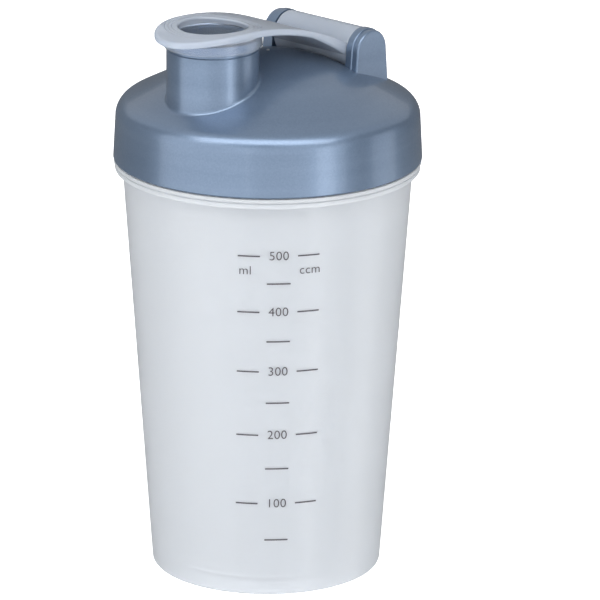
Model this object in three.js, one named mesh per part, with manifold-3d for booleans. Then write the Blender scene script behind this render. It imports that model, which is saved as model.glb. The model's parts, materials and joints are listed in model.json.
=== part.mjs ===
// Protein shaker bottle, 500 ml scale: a frosted cup, a screw lid with a drinking spout, a flip cap hinged
// between two ears of the lid, a mixing sieve pushed into the lid, and a seal ring on the cup's rim.
//
// Millimetres, +Z up. The origin is the centre of the foot ring, on the surface the bottle stands on.
// The spout is towards -Y and the cap's hinge axis runs along X at +Y.

import * as THREE from "three";
import { mergeVertices } from "three/addons/utils/BufferGeometryUtils.js";
import Module from "manifold-3d";

const wasm = await Module();
wasm.setup();

// ---------------------------------------------------------------- driving dimensions

const AROUND = 60; // sides of a large turned surface
const MIDDLING = 40; // sides of the spout and the barrel
const FINE = 24; // sides of a small one
const GAP = 0.3; // clearance between two pieces that rest on each other
const SLIP = 0.5; // clearance between two pieces that slide or turn past each other

// cup
const FOOT_RADIUS = 35.7; // the wall's outside, carried on down to the table
const CUP_RADIUS = 44.9; // the wall's outside, where the ledge starts
const CUP_WALL = 1.3;
const LEDGE_Z = 128.2; // underside of the ledge that the lid comes down to
const FOOT_ROUND = 1.4;
const FOOT_RING = 2.3; // width of the flat ring that the bottle stands on
const RECESS = 3.9; // height of the hollow under the floor
const FLOOR = 1.5;
const LOWER_BEAD = { proud: 2.4, height: 1.8 }; // the ledge's two steps stand this far out of the wall
const UPPER_BEAD = { proud: 2.7, height: 1.3 };
const NECK_INSET = 1.2; // the neck is this much narrower than the wall below it
const NECK_WALL = 1.5;
const NECK_HEIGHT = 15.3; // above the ledge

// thread, right-handed, one start
const PITCH = 6;
const TURNS = 1.25;
const THREAD_DEPTH = 1.1;
const CREST_CLEARANCE = 0.8; // from the neck's thread to the lid's wall
const THREAD_BASE = 2.4;
const THREAD_CREST = 1.0;
const THREAD_RUNOUT = 0.06; // share of its length in which each end fades out
const NECK_THREAD_Z = 4.2; // first turn's middle above the ledge's top
const FLANK_DROP = 1.9; // the lid's thread lies this far below the neck's
const LID_THREAD_LEAD = 20; // degrees by which the lid's thread starts before the neck's

// lid
const SKIRT_DRAFT = 0.7; // the skirt is this much narrower at its shoulder than at its edge
const SEAT_RISE = 3.7; // the seal's seat above the shoulder's start
const LID_WALL = 1.5;
const DOME_WALL = 1.8;
const SHOULDER_ROUND = 6.2;
const DOME_SLOPE = THREE.MathUtils.degToRad(27.9); // where the shoulder runs into the dome
const DOME_POWER = 1.54; // how quickly the dome flattens towards its middle
const PLUG_RING_WALL = 1.5;
const PLUG_RING_REACH = 8.1; // below the seal's seat

// seal ring
const SEAL_THICKNESS = 1.4;

// spout
const SPOUT_Y = -24.6;
const SPOUT_RADIUS = 14.2;
const SPOUT_TOP_INSET = 0.3; // the spout is this much narrower where the cap's sleeve covers it
const SPOUT_WALL = 1.6;
const SPOUT_RISE = 9.36; // the spout's rim above the dome's top
const SPOUT_STEP = 3.9; // height of the narrower stretch

// hinge
const HINGE_Y = 25.5;
const HINGE_RISE = 4.91; // the hinge's axis above the dome at that place
const EAR_RADIUS = 7.0;
const EAR_BODY = 2.4; // thickness of the ear proper
const EAR_PANEL = 2.1; // thickness of the raised panel on its outer face
const EAR_PANEL_STEP = 0.6;
const PIN_RADIUS = 1.9;
const PIN_LENGTH = 2.5;

// flip cap
const CAP_SIDE = 0.1; // the strap's sides stand this far outside the sleeve
const CAP_THICKNESS = 2.1;
const CAP_CROWN = 3.0; // the top of the cap's arch above the sleeve's seat on the spout
const CAP_ARCH_RADIUS = 101; // the strap's upper face is one arc from the nose to the barrel
const CAP_ARCH_FORWARD = 2.4; // the arch's highest line lies this far in front of the spout's axis
const CAP_TAB = 4.9; // reach of the thumb tab in front of the sleeve
const ARM_ROOT = 4.1; // thickness of the arm where it meets the barrel
const ARM_ROOT_Y = 4; // where the arm starts to thicken
const ARM_BURIED = 1; // the arm's underside ends this far below the hinge's axis, inside the barrel
const BARREL_RADIUS = EAR_RADIUS - 0.2;
const BARREL_WALL = 1.5;
const BARREL_LIP = 1.1; // the opening under the barrel is narrower than its inside by this, each side
const WEB_X = 8; // the two webs inside the barrel
const WEB_THICKNESS = 1.2;
const SLEEVE_WALL = 0.7;
const SLEEVE_REACH = 3.4;
const SLEEVE_FLARE = 0.3;
const PLUG_DEPTH = 7.0;
const PLUG_TAPER = 1.3;
const PLUG_WALL = 1.4;
const LIP_FUNNEL = 1.3; // the well's mouth opens out by this much

// mixing sieve
const SIEVE_WALL = 1.2;
const SIEVE_FLOOR = 1.4;
const SIEVE_HEIGHT = 5.4;
const SIEVE_HOLE_RADIUS = 2.7;
const SIEVE_RING_PITCH = 7.7; // from each circle of holes to the next
const SIEVE_RIM = 2.0; // least plate between the outer holes and the collar
const SIEVE_GRIP = { radius: 3.0, height: 6.0 };

// ---------------------------------------------------------------- places worked out from them

const ledgeTop = LEDGE_Z + LOWER_BEAD.height + UPPER_BEAD.height;
const lowerBeadRadius = CUP_RADIUS + LOWER_BEAD.proud;
const upperBeadRadius = CUP_RADIUS + UPPER_BEAD.proud;
const neckRadius = CUP_RADIUS - NECK_INSET;
const neckBore = neckRadius - NECK_WALL;
const neckTop = ledgeTop + NECK_HEIGHT;
const cupWallAt = (z) => FOOT_RADIUS + ((CUP_RADIUS - FOOT_RADIUS) * z) / LEDGE_Z;

const sealBottom = neckTop + GAP;
const sealSeat = sealBottom + SEAL_THICKNESS + GAP;
const plugRingOuter = neckBore - GAP;
const plugRingInner = plugRingOuter - PLUG_RING_WALL;
const plugRingBottom = sealSeat - PLUG_RING_REACH;

const lidBottom = ledgeTop + GAP;
const skirtBore = neckRadius + THREAD_DEPTH + CREST_CLEARANCE;
const shoulderZ = sealSeat - SEAT_RISE;
const shoulderR = skirtBore + LID_WALL;
const lidRadius = shoulderR + SKIRT_DRAFT;
const shoulderMiddle = shoulderR - SHOULDER_ROUND;
const domeEdgeR = shoulderMiddle + SHOULDER_ROUND * Math.sin(DOME_SLOPE);
const domeEdgeZ = shoulderZ + SHOULDER_ROUND * Math.cos(DOME_SLOPE);
const domeHeight = (domeEdgeR * Math.tan(DOME_SLOPE)) / DOME_POWER;
const domeTop = domeEdgeZ + domeHeight;
const domeZ = (r) => domeTop - domeHeight * (r / domeEdgeR) ** DOME_POWER;

const spoutTopZ = domeTop + SPOUT_RISE;
const spoutTopRadius = SPOUT_RADIUS - SPOUT_TOP_INSET;
const spoutBore = spoutTopRadius - SPOUT_WALL;
const sleeveRadius = spoutTopRadius + GAP;
const sleeveOuter = sleeveRadius + SLEEVE_FLARE + SLEEVE_WALL;
const capHalfWidth = sleeveOuter + CAP_SIDE;

const hingeZ = domeZ(HINGE_Y) + HINGE_RISE;
const earInside = capHalfWidth + GAP;
const earOutside = earInside + EAR_BODY + EAR_PANEL;
const barrelInside = BARREL_RADIUS - BARREL_WALL;
const troughRadius = BARREL_RADIUS + SLIP + GAP;

const capSeat = spoutTopZ + GAP;
const capCrown = capSeat + CAP_CROWN;
const archY = SPOUT_Y - CAP_ARCH_FORWARD;
const archMiddleZ = capCrown - CAP_ARCH_RADIUS;
const archTopZ = (y) => archMiddleZ + Math.sqrt(CAP_ARCH_RADIUS ** 2 - (y - archY) ** 2);
const sunkTop = archTopZ(SPOUT_Y + sleeveOuter) - 0.2; // sleeve and plug end inside the strap
const plugRadius = spoutBore - GAP;
const wellRadius = plugRadius - PLUG_WALL;
const plugBottom = capSeat - PLUG_DEPTH;

// ---------------------------------------------------------------- shaping helpers

// A closed three.js geometry as a solid that can be joined and cut.
function solid(geometry) {
  const bare = new THREE.BufferGeometry();
  bare.setAttribute("position", geometry.getAttribute("position"));
  bare.setIndex(geometry.index);
  const merged = mergeVertices(bare, 1e-4);
  const corners = merged.index.array;
  const kept = [];
  for (let i = 0; i < corners.length; i += 3) {
    const [a, b, c] = corners.slice(i, i + 3);
    if (a !== b && b !== c && c !== a) kept.push(a, b, c);
  }
  const vertProperties = merged.getAttribute("position").array;
  const triVerts = new Uint32Array(kept);
  return new wasm.Manifold(new wasm.Mesh({ numProp: 3, vertProperties, triVerts }));
}

// A named mesh of a finished solid.
function piece(name, made, material) {
  const { vertProperties, triVerts } = made.getMesh();
  const geometry = new THREE.BufferGeometry();
  geometry.setAttribute("position", new THREE.BufferAttribute(vertProperties, 3));
  geometry.setIndex(new THREE.BufferAttribute(triVerts, 1));
  geometry.computeVertexNormals();
  const mesh = new THREE.Mesh(geometry, material);
  mesh.name = name;
  return mesh;
}

// Points [radius, z] on an arc about (r, z). Angles are in degrees, 0 outwards and 90 up.
function arc(r, z, radius, from, to, steps) {
  return Array.from({ length: steps + 1 }, (_, i) => {
    const a = THREE.MathUtils.degToRad(from + ((to - from) * i) / steps);
    return [r + radius * Math.cos(a), z + radius * Math.sin(a)];
  });
}

// A solid turned about Z from [radius, z] points that start and end on the axis, or about a post at y.
function turned(profile, around = AROUND, y = 0) {
  const points = profile.map(([r, z]) => new THREE.Vector2(r, z));
  return solid(new THREE.LatheGeometry(points, around).rotateX(Math.PI / 2).translate(0, y, 0));
}

// A turned ring: the outline is closed back to its first point.
const ring = (profile, around, y) => turned([...profile, profile[0]], around, y);

function post(radius, low, high, y, around = FINE) {
  const upright = new THREE.CylinderGeometry(radius, radius, high - low, around).rotateX(Math.PI / 2);
  return solid(upright.translate(0, y, (low + high) / 2));
}

// A round bar along X, on the hinge's axis.
function hingeBar(radius, from, to, around = FINE) {
  const bar = new THREE.CylinderGeometry(radius, radius, to - from, around).rotateZ(Math.PI / 2);
  return solid(bar.translate((from + to) / 2, HINGE_Y, hingeZ));
}

function block(from, to) {
  const size = to.map((v, i) => v - from[i]);
  const middle = to.map((v, i) => (v + from[i]) / 2);
  return solid(new THREE.BoxGeometry(...size).translate(...middle));
}

// A THREE.Shape drawn in y and z, drawn out along X.
function alongX(shape, from, to) {
  const drawn = new THREE.ExtrudeGeometry(shape, { depth: to - from, bevelEnabled: false, curveSegments: 12 });
  const turn = new THREE.Matrix4().makeBasis(
    new THREE.Vector3(0, 1, 0),
    new THREE.Vector3(0, 0, 1),
    new THREE.Vector3(1, 0, 0),
  );
  return solid(drawn.applyMatrix4(turn).translate(from, 0, 0));
}

// A screw thread: a trapezoid drawn out straight, then wound down the helix. root and crest are radii.
function thread(root, crest, firstZ, firstDegrees) {
  const inwards = Math.sign(crest - root);
  const sunk = 0.4; // how far the root reaches into its wall
  const section = new THREE.Shape([
    new THREE.Vector2(-sunk, -THREAD_BASE / 2),
    new THREE.Vector2(0, -THREAD_BASE / 2),
    new THREE.Vector2(1, -THREAD_CREST / 2),
    new THREE.Vector2(1, THREAD_CREST / 2),
    new THREE.Vector2(0, THREAD_BASE / 2),
    new THREE.Vector2(-sunk, THREAD_BASE / 2),
  ]);
  const steps = Math.round(TURNS * AROUND);
  const wound = new THREE.ExtrudeGeometry(section, { depth: 1, steps, bevelEnabled: false });
  const place = wound.getAttribute("position");
  const depth = Math.abs(crest - root);
  for (let i = 0; i < place.count; i++) {
    const along = inwards > 0 ? 1 - place.getZ(i) : place.getZ(i);
    const fade = Math.min(1, along / THREAD_RUNOUT, (1 - along) / THREAD_RUNOUT);
    const out = place.getX(i) > 0.5 ? depth * fade - 0.1 * (1 - fade) : place.getX(i) - 0.1 * (1 - fade);
    const radius = root + inwards * out;
    const angle = THREE.MathUtils.degToRad(firstDegrees) + along * TURNS * 2 * Math.PI;
    const z = firstZ + along * TURNS * PITCH + place.getY(i);
    place.setXYZ(i, radius * Math.cos(angle), radius * Math.sin(angle), z);
  }
  return solid(wound);
}

// ---------------------------------------------------------------- cup

function cup() {
  const roundR = cupWallAt(FOOT_ROUND) - FOOT_ROUND;
  const recessR = roundR - FOOT_RING;
  const floorTop = RECESS + FLOOR;
  const innerRound = 3;
  const throatLow = LEDGE_Z - 3; // below here the bore follows the tapered wall
  const wall = turned([
    [0, RECESS],
    [recessR - RECESS / 2, RECESS],
    [recessR, 0],
    ...arc(roundR, FOOT_ROUND, FOOT_ROUND, -90, 0, 3),
    [CUP_RADIUS, LEDGE_Z],
    [lowerBeadRadius - 0.3, LEDGE_Z],
    [lowerBeadRadius, LEDGE_Z + 0.3],
    [lowerBeadRadius, LEDGE_Z + LOWER_BEAD.height],
    [upperBeadRadius, LEDGE_Z + LOWER_BEAD.height],
    [upperBeadRadius, ledgeTop - 0.3],
    [upperBeadRadius - 0.3, ledgeTop],
    [neckRadius, ledgeTop],
    [neckRadius, neckTop - 0.4],
    [neckRadius - 0.4, neckTop],
    [neckBore + 0.4, neckTop],
    [neckBore, neckTop - 0.4],
    [neckBore, ledgeTop],
    [cupWallAt(throatLow) - CUP_WALL, throatLow],
    ...arc(cupWallAt(floorTop) - CUP_WALL - innerRound, floorTop + innerRound, innerRound, 0, -90, 4),
    [0, floorTop],
  ]);
  return wall.add(thread(neckRadius, neckRadius + THREAD_DEPTH, ledgeTop + NECK_THREAD_Z, 0));
}

// ---------------------------------------------------------------- lid

function domePoints(drop, from, steps) {
  return Array.from({ length: steps + 1 }, (_, i) => {
    const r = from * (1 - i / steps);
    return [r, domeZ(r) - drop];
  });
}

function lidOutside() {
  return turned([
    [0, lidBottom],
    [lidRadius - 0.5, lidBottom],
    [lidRadius, lidBottom + 0.5],
    ...arc(shoulderMiddle, shoulderZ, SHOULDER_ROUND, 0, 90 - THREE.MathUtils.radToDeg(DOME_SLOPE), 5),
    ...domePoints(0, domeEdgeR, 7).slice(1),
  ]);
}

function lidInside() {
  const inner = SHOULDER_ROUND - LID_WALL;
  const seatAngle = THREE.MathUtils.radToDeg(Math.asin(Math.min(1, (sealSeat - shoulderZ) / inner)));
  const below = lidBottom - 1;
  return turned([
    [0, below],
    [skirtBore, below],
    ...arc(shoulderMiddle, shoulderZ, inner, 0, seatAngle, 3),
    [plugRingOuter, sealSeat],
    [plugRingOuter, plugRingBottom],
    [plugRingInner, plugRingBottom],
    ...domePoints(DOME_WALL, plugRingInner, 5),
  ]);
}

// One ear's outline in y and z: a half disc on a straight-sided stem.
function earShape(radius) {
  const shape = new THREE.Shape();
  shape.moveTo(HINGE_Y - radius, shoulderZ);
  shape.lineTo(HINGE_Y + radius, shoulderZ);
  shape.lineTo(HINGE_Y + radius, hingeZ);
  shape.absarc(HINGE_Y, hingeZ, radius, 0, Math.PI, false);
  shape.closePath();
  return shape;
}

function ear(side) {
  const faces = [earInside, earInside + EAR_BODY, earOutside].map((x) => side * x);
  const between = (a, b, radius) => alongX(earShape(radius), Math.min(a, b), Math.max(a, b));
  return between(faces[0], faces[1], EAR_RADIUS).add(between(faces[1], faces[2], EAR_RADIUS - EAR_PANEL_STEP));
}

function pinHole(side) {
  const ends = [side * (earInside - 1), side * (capHalfWidth + PIN_LENGTH + GAP)];
  return hingeBar(PIN_RADIUS + GAP, Math.min(...ends), Math.max(...ends));
}

function spout() {
  const half = SPOUT_WALL / 2;
  return ring(
    [
      [spoutBore, shoulderZ],
      [SPOUT_RADIUS, shoulderZ],
      [SPOUT_RADIUS, spoutTopZ - SPOUT_STEP - 0.3],
      [spoutTopRadius, spoutTopZ - SPOUT_STEP],
      ...arc(spoutTopRadius - half, spoutTopZ - half, half, 0, 180, 4),
    ],
    MIDDLING,
    SPOUT_Y,
  );
}

function lid() {
  // The barrel turns in a shallow trough between the ears, and the shell follows it down.
  const trough = hingeBar(troughRadius, -earInside, earInside, MIDDLING);
  const shellEnd = earInside + DOME_WALL;
  const troughShell = hingeBar(troughRadius + DOME_WALL, -shellEnd, shellEnd, MIDDLING);
  const boreLow = plugRingBottom;
  const hollow = lidInside().subtract(troughShell);
  const threadZ = ledgeTop + NECK_THREAD_Z - FLANK_DROP - (PITCH * LID_THREAD_LEAD) / 360;
  return lidOutside()
    .add(ear(1))
    .add(ear(-1))
    .subtract(post(spoutBore, boreLow, spoutTopZ, SPOUT_Y, MIDDLING))
    .add(spout())
    .subtract(hollow)
    .subtract(trough)
    .subtract(pinHole(1))
    .subtract(pinHole(-1))
    .add(thread(skirtBore, neckRadius + GAP, threadZ, -LID_THREAD_LEAD));
}

// ---------------------------------------------------------------- flip cap

// The cap from the side: an arched strap that thickens where it meets the barrel.
function capSide() {
  const frontY = SPOUT_Y - sleeveOuter - CAP_TAB - 1;
  const frontBarrel = HINGE_Y - BARREL_RADIUS;
  const under = CAP_ARCH_RADIUS - CAP_THICKNESS;
  const angleAt = (y, radius) => Math.acos((y - archY) / radius);
  const shape = new THREE.Shape();
  shape.absarc(archY, archMiddleZ, under, angleAt(frontY, under), angleAt(ARM_ROOT_Y, under), true);
  shape.lineTo(frontBarrel, archTopZ(frontBarrel) - ARM_ROOT);
  shape.lineTo(HINGE_Y, Math.min(hingeZ - ARM_BURIED, archTopZ(HINGE_Y) - ARM_BURIED / 2));
  const [last, first] = [frontY, HINGE_Y].map((y) => angleAt(y, CAP_ARCH_RADIUS));
  shape.absarc(archY, archMiddleZ, CAP_ARCH_RADIUS, first, last, false);
  shape.closePath();
  return alongX(shape, -capHalfWidth - 1, capHalfWidth + 1);
}

// The cap seen from above: a strap as wide as the barrel, with a long round nose.
function capPlan() {
  const shape = new THREE.Shape();
  shape.moveTo(capHalfWidth, HINGE_Y);
  shape.lineTo(-capHalfWidth, HINGE_Y);
  shape.absellipse(0, SPOUT_Y, capHalfWidth, sleeveOuter + CAP_TAB, Math.PI, 2 * Math.PI, false, 0);
  shape.closePath();
  const low = hingeZ - BARREL_RADIUS;
  const depth = capCrown + 1 - low;
  const drawn = new THREE.ExtrudeGeometry(shape, { depth, bevelEnabled: false, curveSegments: 24 });
  return solid(drawn.translate(0, 0, low));
}

function sleeve() {
  return ring(
    [
      [sleeveRadius + SLEEVE_FLARE, capSeat - SLEEVE_REACH],
      [sleeveOuter, capSeat - SLEEVE_REACH],
      [sleeveRadius + SLEEVE_WALL, sunkTop],
      [sleeveRadius, sunkTop],
    ],
    MIDDLING,
    SPOUT_Y,
  );
}

function plug() {
  return turned(
    [
      [0, plugBottom],
      [plugRadius - PLUG_TAPER - 0.6, plugBottom],
      [plugRadius - PLUG_TAPER, plugBottom + 0.6],
      [plugRadius, capSeat],
      [plugRadius, sunkTop],
      [0, sunkTop],
    ],
    MIDDLING,
    SPOUT_Y,
  );
}

function well() {
  const funnelZ = archTopZ(SPOUT_Y + plugRadius) - LIP_FUNNEL;
  return turned(
    [
      [0, plugBottom + PLUG_WALL],
      [wellRadius - PLUG_TAPER, plugBottom + PLUG_WALL],
      [wellRadius, funnelZ],
      [wellRadius + LIP_FUNNEL, capCrown],
      [wellRadius + LIP_FUNNEL, capCrown + 1],
      [0, capCrown + 1],
    ],
    MIDDLING,
    SPOUT_Y,
  );
}

function barrelHollow() {
  const end = capHalfWidth - BARREL_WALL;
  const slotSide = barrelInside - BARREL_LIP;
  const slot = block(
    [-end, HINGE_Y - slotSide, hingeZ - BARREL_RADIUS - 1],
    [end, HINGE_Y + slotSide, hingeZ],
  );
  return hingeBar(barrelInside, -end, end, MIDDLING).add(slot);
}

// A web across the barrel: the part of a disc above the axis, so that the slot stays open below.
function web(x) {
  const disc = hingeBar(barrelInside + 0.3, x - WEB_THICKNESS / 2, x + WEB_THICKNESS / 2);
  const lower = block(
    [x - WEB_THICKNESS, HINGE_Y - BARREL_RADIUS, hingeZ - BARREL_RADIUS],
    [x + WEB_THICKNESS, HINGE_Y + BARREL_RADIUS, hingeZ - 2],
  );
  return disc.subtract(lower);
}

function flipCap() {
  const pinEnd = capHalfWidth + PIN_LENGTH;
  return capSide()
    .intersect(capPlan())
    .subtract(post(sleeveRadius + SLEEVE_WALL / 2, plugBottom, capSeat, SPOUT_Y, MIDDLING))
    .add(hingeBar(BARREL_RADIUS, -capHalfWidth, capHalfWidth, MIDDLING))
    .subtract(barrelHollow())
    .add(web(WEB_X))
    .add(web(-WEB_X))
    .add(hingeBar(PIN_RADIUS, capHalfWidth - BARREL_WALL, pinEnd))
    .add(hingeBar(PIN_RADIUS, -pinEnd, BARREL_WALL - capHalfWidth))
    .add(sleeve())
    .add(plug())
    .subtract(well());
}

// ---------------------------------------------------------------- seal ring and mixing sieve

function sealRing() {
  return ring([
    [neckBore, sealBottom],
    [neckRadius, sealBottom],
    [neckRadius, sealBottom + SEAL_THICKNESS],
    [neckBore, sealBottom + SEAL_THICKNESS],
  ]);
}

function mixingSieve() {
  const outer = plugRingInner - GAP;
  const flange = neckBore - SLIP;
  const high = plugRingBottom - GAP; // the flange's upper face, under the lid's plug ring
  const low = high - SIEVE_FLOOR;
  let made = turned([
    [0, low],
    [flange - 0.3, low],
    [flange, low + 0.3],
    [flange, high],
    [outer, high],
    [outer, low + SIEVE_HEIGHT],
    [outer - SIEVE_WALL, low + SIEVE_HEIGHT],
    [outer - SIEVE_WALL, high],
    [0, high],
  ]);
  made = made.add(post(SIEVE_GRIP.radius, low - SIEVE_GRIP.height, high, 0));
  const firstCircle = SIEVE_GRIP.radius / 2;
  const lastHole = outer - SIEVE_WALL - SIEVE_RIM - SIEVE_HOLE_RADIUS;
  const circles = Math.floor((lastHole - firstCircle) / SIEVE_RING_PITCH);
  const holes = [];
  for (let circle = 1; circle <= circles; circle++) {
    const count = 6 * circle;
    for (let i = 0; i < count; i++) {
      const angle = (2 * Math.PI * i) / count;
      const r = firstCircle + circle * SIEVE_RING_PITCH;
      const hole = new THREE.CylinderGeometry(SIEVE_HOLE_RADIUS, SIEVE_HOLE_RADIUS, 3 * SIEVE_FLOOR, 8);
      hole.rotateX(Math.PI / 2).translate(r * Math.cos(angle), r * Math.sin(angle), (low + high) / 2);
      holes.push(solid(hole));
    }
  }
  return made.subtract(wasm.Manifold.union(holes));
}

// ---------------------------------------------------------------- assembly

const plastic = (color, roughness, opacity = 1) =>
  new THREE.MeshStandardMaterial({ color, roughness, metalness: 0, opacity, transparent: opacity < 1 });

const frosted = plastic(0xdfe5ec, 0.4, 0.6);
const pearlBlue = new THREE.MeshStandardMaterial({ color: 0x74879e, roughness: 0.35, metalness: 0.35 });
const clear = plastic(0xb4bdcb, 0.25, 0.5);
const sievePlastic = plastic(0xe4e9ee, 0.45, 0.8);
const silicone = plastic(0xd7dde2, 0.6, 0.8);

const bottle = new THREE.Group();
bottle.add(piece("cup", cup(), frosted));
bottle.add(piece("seal_ring", sealRing(), silicone));
bottle.add(piece("screw_lid", lid(), pearlBlue));
bottle.add(piece("flip_cap", flipCap(), clear));
bottle.add(piece("mixing_sieve", mixingSieve(), sievePlastic));

export default bottle;
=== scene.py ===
# %% [markdown]
# # A protein shaker bottle
#
# Five plastic mouldings make this bottle: a frosted cup, a domed screw lid with a drinking spout, a
# translucent flip cap, a mixing sieve and a seal ring. The CAD frame already says where each one is and how
# it moves. Here every moulding is made again with the soft edges and the finish that the real one has.

# %% Load the frame
import json
import math

import bmesh
import bpy
from mathutils import Matrix, Vector


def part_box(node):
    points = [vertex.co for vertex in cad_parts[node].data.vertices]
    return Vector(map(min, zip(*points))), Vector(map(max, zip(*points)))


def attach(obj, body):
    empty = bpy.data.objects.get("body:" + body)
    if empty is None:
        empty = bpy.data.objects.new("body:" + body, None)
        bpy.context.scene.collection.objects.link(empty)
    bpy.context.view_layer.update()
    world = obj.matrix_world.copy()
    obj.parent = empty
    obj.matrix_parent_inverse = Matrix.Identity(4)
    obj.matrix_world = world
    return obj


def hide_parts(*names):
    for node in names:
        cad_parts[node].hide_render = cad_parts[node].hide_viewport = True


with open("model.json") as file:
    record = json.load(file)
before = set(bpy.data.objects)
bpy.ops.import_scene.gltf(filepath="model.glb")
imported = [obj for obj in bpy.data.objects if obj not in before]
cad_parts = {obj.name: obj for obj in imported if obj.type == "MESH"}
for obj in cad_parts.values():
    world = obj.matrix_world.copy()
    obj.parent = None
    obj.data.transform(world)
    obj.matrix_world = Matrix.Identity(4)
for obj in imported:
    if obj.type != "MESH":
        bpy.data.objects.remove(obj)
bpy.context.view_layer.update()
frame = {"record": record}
bpy.context.scene.view_settings.view_transform = "Standard"  # a white floor stays white

# %% [markdown]
# ## The camera
#
# A long lens from a little above the lid, turned so that the spout points to the left. The long lens keeps
# the cup's sides nearly straight. The bottle is not quite in the middle of the frame, so the lens is
# shifted by a few hundredths of the frame instead of turning the camera.

# %% Camera
TURN = math.radians(43.2)
RISE = math.radians(17.31)
DISTANCE = 1.7915
AIM = Vector((0, 0, 0.090))
ROLL = math.radians(0.24)
LENS = 345.2  # millimetres, for a sensor 36 mm wide
SHIFT = (0.0547, -0.0266)

camera = bpy.data.objects.new("camera", bpy.data.cameras.new("camera"))
bpy.context.collection.objects.link(camera)
backwards = Vector((math.sin(TURN) * math.cos(RISE), -math.cos(TURN) * math.cos(RISE), math.sin(RISE)))
camera.location = AIM + backwards * DISTANCE
facing = backwards.to_track_quat("Z", "Y").to_matrix() @ Matrix.Rotation(ROLL, 3, "Z")
camera.rotation_euler = facing.to_euler()
camera.data.sensor_width = 36
camera.data.lens = LENS
camera.data.shift_x, camera.data.shift_y = SHIFT
bpy.context.scene.camera = camera
print("camera at", tuple(round(v, 3) for v in camera.location))

# %% [markdown]
# ## Sizes
#
# Sizes are in millimetres, as on a drawing, and each mesh is scaled to metres when it is finished. Heights
# and radii that the frame knows are read from its boxes, so that the two models can't drift apart. What the
# boxes don't say, such as the thickness of a wall, is named here or where it is first needed.

# %% Sizes read from the frame
MM = 0.001


def box_mm(node):
    low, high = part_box(node)
    return low / MM, high / MM


cup_low, cup_high = box_mm("cup")
lid_low, lid_high = box_mm("screw_lid")
seal_low, seal_high = box_mm("seal_ring")
cap_low, cap_high = box_mm("flip_cap")
sieve_low, sieve_high = box_mm("mixing_sieve")
joints = {joint["name"]: joint for joint in frame["record"]["behaviour"]["joints"]}
hinge = Vector(joints["cap_open"]["pos_m"]) / MM
print("hinge at", tuple(round(v, 2) for v in hinge))

# %% Sizes that the boxes don't say
GAP = 0.3  # clearance between two pieces that rest on each other

FOOT_R = 35.7
WALL_TOP_R = 44.9
LEDGE_R = cup_high.x
LOWER_LEDGE_R = 47.3
LEDGE_TOP = lid_low.z - GAP
LEDGE_STEP = LEDGE_TOP - 1.3
LEDGE_LOW = LEDGE_STEP - 1.8
NECK_R = seal_high.x
NECK_WALL = 1.5
NECK_BORE = NECK_R - NECK_WALL
NECK_TOP = cup_high.z

SKIRT_R = lid_high.x
SKIRT_HEIGHT = 13.3
SKIRT_DRAFT = 0.7  # the skirt is this much narrower at its shoulder than at its edge
SHOULDER_R = SKIRT_R - SKIRT_DRAFT
SHOULDER_Z = lid_low.z + SKIRT_HEIGHT
SHOULDER_ROUND = 6.2
DOME_SLOPE = math.radians(27.9)  # where the shoulder runs into the dome
DOME_POWER = 1.54  # how quickly the dome flattens towards its middle
LID_WALL = 1.5
DOME_WALL = 1.8

SPOUT = Vector((0, -24.6, 0))
SPOUT_R = 14.2
SPOUT_TOP_R = 13.9
SPOUT_BORE = 12.3
SPOUT_TOP = lid_high.z

CAP_WIDE = 15.3  # half the strap's width
CAP_TOP = cap_high.z
EAR_IN = 15.6
EAR_OUT = 20.1
BARREL_R = 6.8
print("cup", round(2 * LEDGE_R, 1), "mm across its ledge, lid", round(2 * SKIRT_R, 1), "mm across")

# %% [markdown]
# ## Helpers for turned shapes
#
# Nearly everything on a bottle is turned: an outline swung round an axis. So the first helper rounds the
# corners of an outline, and the second one swings it with Blender's spin operator. Where mouldings grow out
# of each other, as the spout does from the lid, a Boolean modifier makes them one closed skin.

# %% Outlines with rounded corners
ARC_STEP = math.radians(11)


def rounded(corners):
    """Points of a closed outline. A corner is (across, up, radius), and a radius of 0 leaves it sharp."""
    points = []
    for i, (across, up, radius) in enumerate(corners):
        corner = Vector((across, up))
        if radius == 0:
            points.append(corner)
            continue
        neighbours = [Vector(corners[(i + k) % len(corners)][:2]) for k in (-1, 1)]
        towards = [(neighbour - corner).normalized() for neighbour in neighbours]
        half = towards[0].angle(towards[1]) / 2
        centre = corner + (towards[0] + towards[1]).normalized() * radius / math.sin(half)
        first, last = [corner + way * radius / math.tan(half) - centre for way in towards]
        turn = math.atan2(first.x * last.y - first.y * last.x, first.dot(last))
        steps = max(2, round(abs(turn) / ARC_STEP))
        points += [centre + Matrix.Rotation(turn * k / steps, 2) @ first for k in range(steps + 1)]
    return points


def arc(across, up, radius, start, end, step=ARC_STEP):
    """Points on an arc about (across, up), with angles in degrees from the across direction."""
    start, end = math.radians(start), math.radians(end)
    steps = max(2, round(abs(end - start) / step))
    angles = [start + (end - start) * k / steps for k in range(steps + 1)]
    return [Vector((across + radius * math.cos(a), up + radius * math.sin(a))) for a in angles]


# %% Spinning, moving and combining
ROUND = 160  # steps in a full turn


def spun(outline, steps=ROUND, at=(0, 0, 0)):
    """A closed skin: the outline, in the XZ plane, swung about a vertical axis through at."""
    bm = bmesh.new()
    verts = [bm.verts.new((x, 0, z)) for x, z in outline]
    edges = [bm.edges.new(pair) for pair in zip(verts, verts[1:])]
    if outline[0][0] > 0 or outline[-1][0] > 0:
        edges.append(bm.edges.new((verts[-1], verts[0])))
    bmesh.ops.spin(
        bm, geom=verts + edges, cent=(0, 0, 0), axis=(0, 0, 1), angle=math.tau, steps=steps, use_merge=True
    )
    bmesh.ops.remove_doubles(bm, verts=bm.verts, dist=1e-3)
    bmesh.ops.recalc_face_normals(bm, faces=bm.faces)
    bmesh.ops.translate(bm, verts=bm.verts, vec=at)
    return bm


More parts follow.
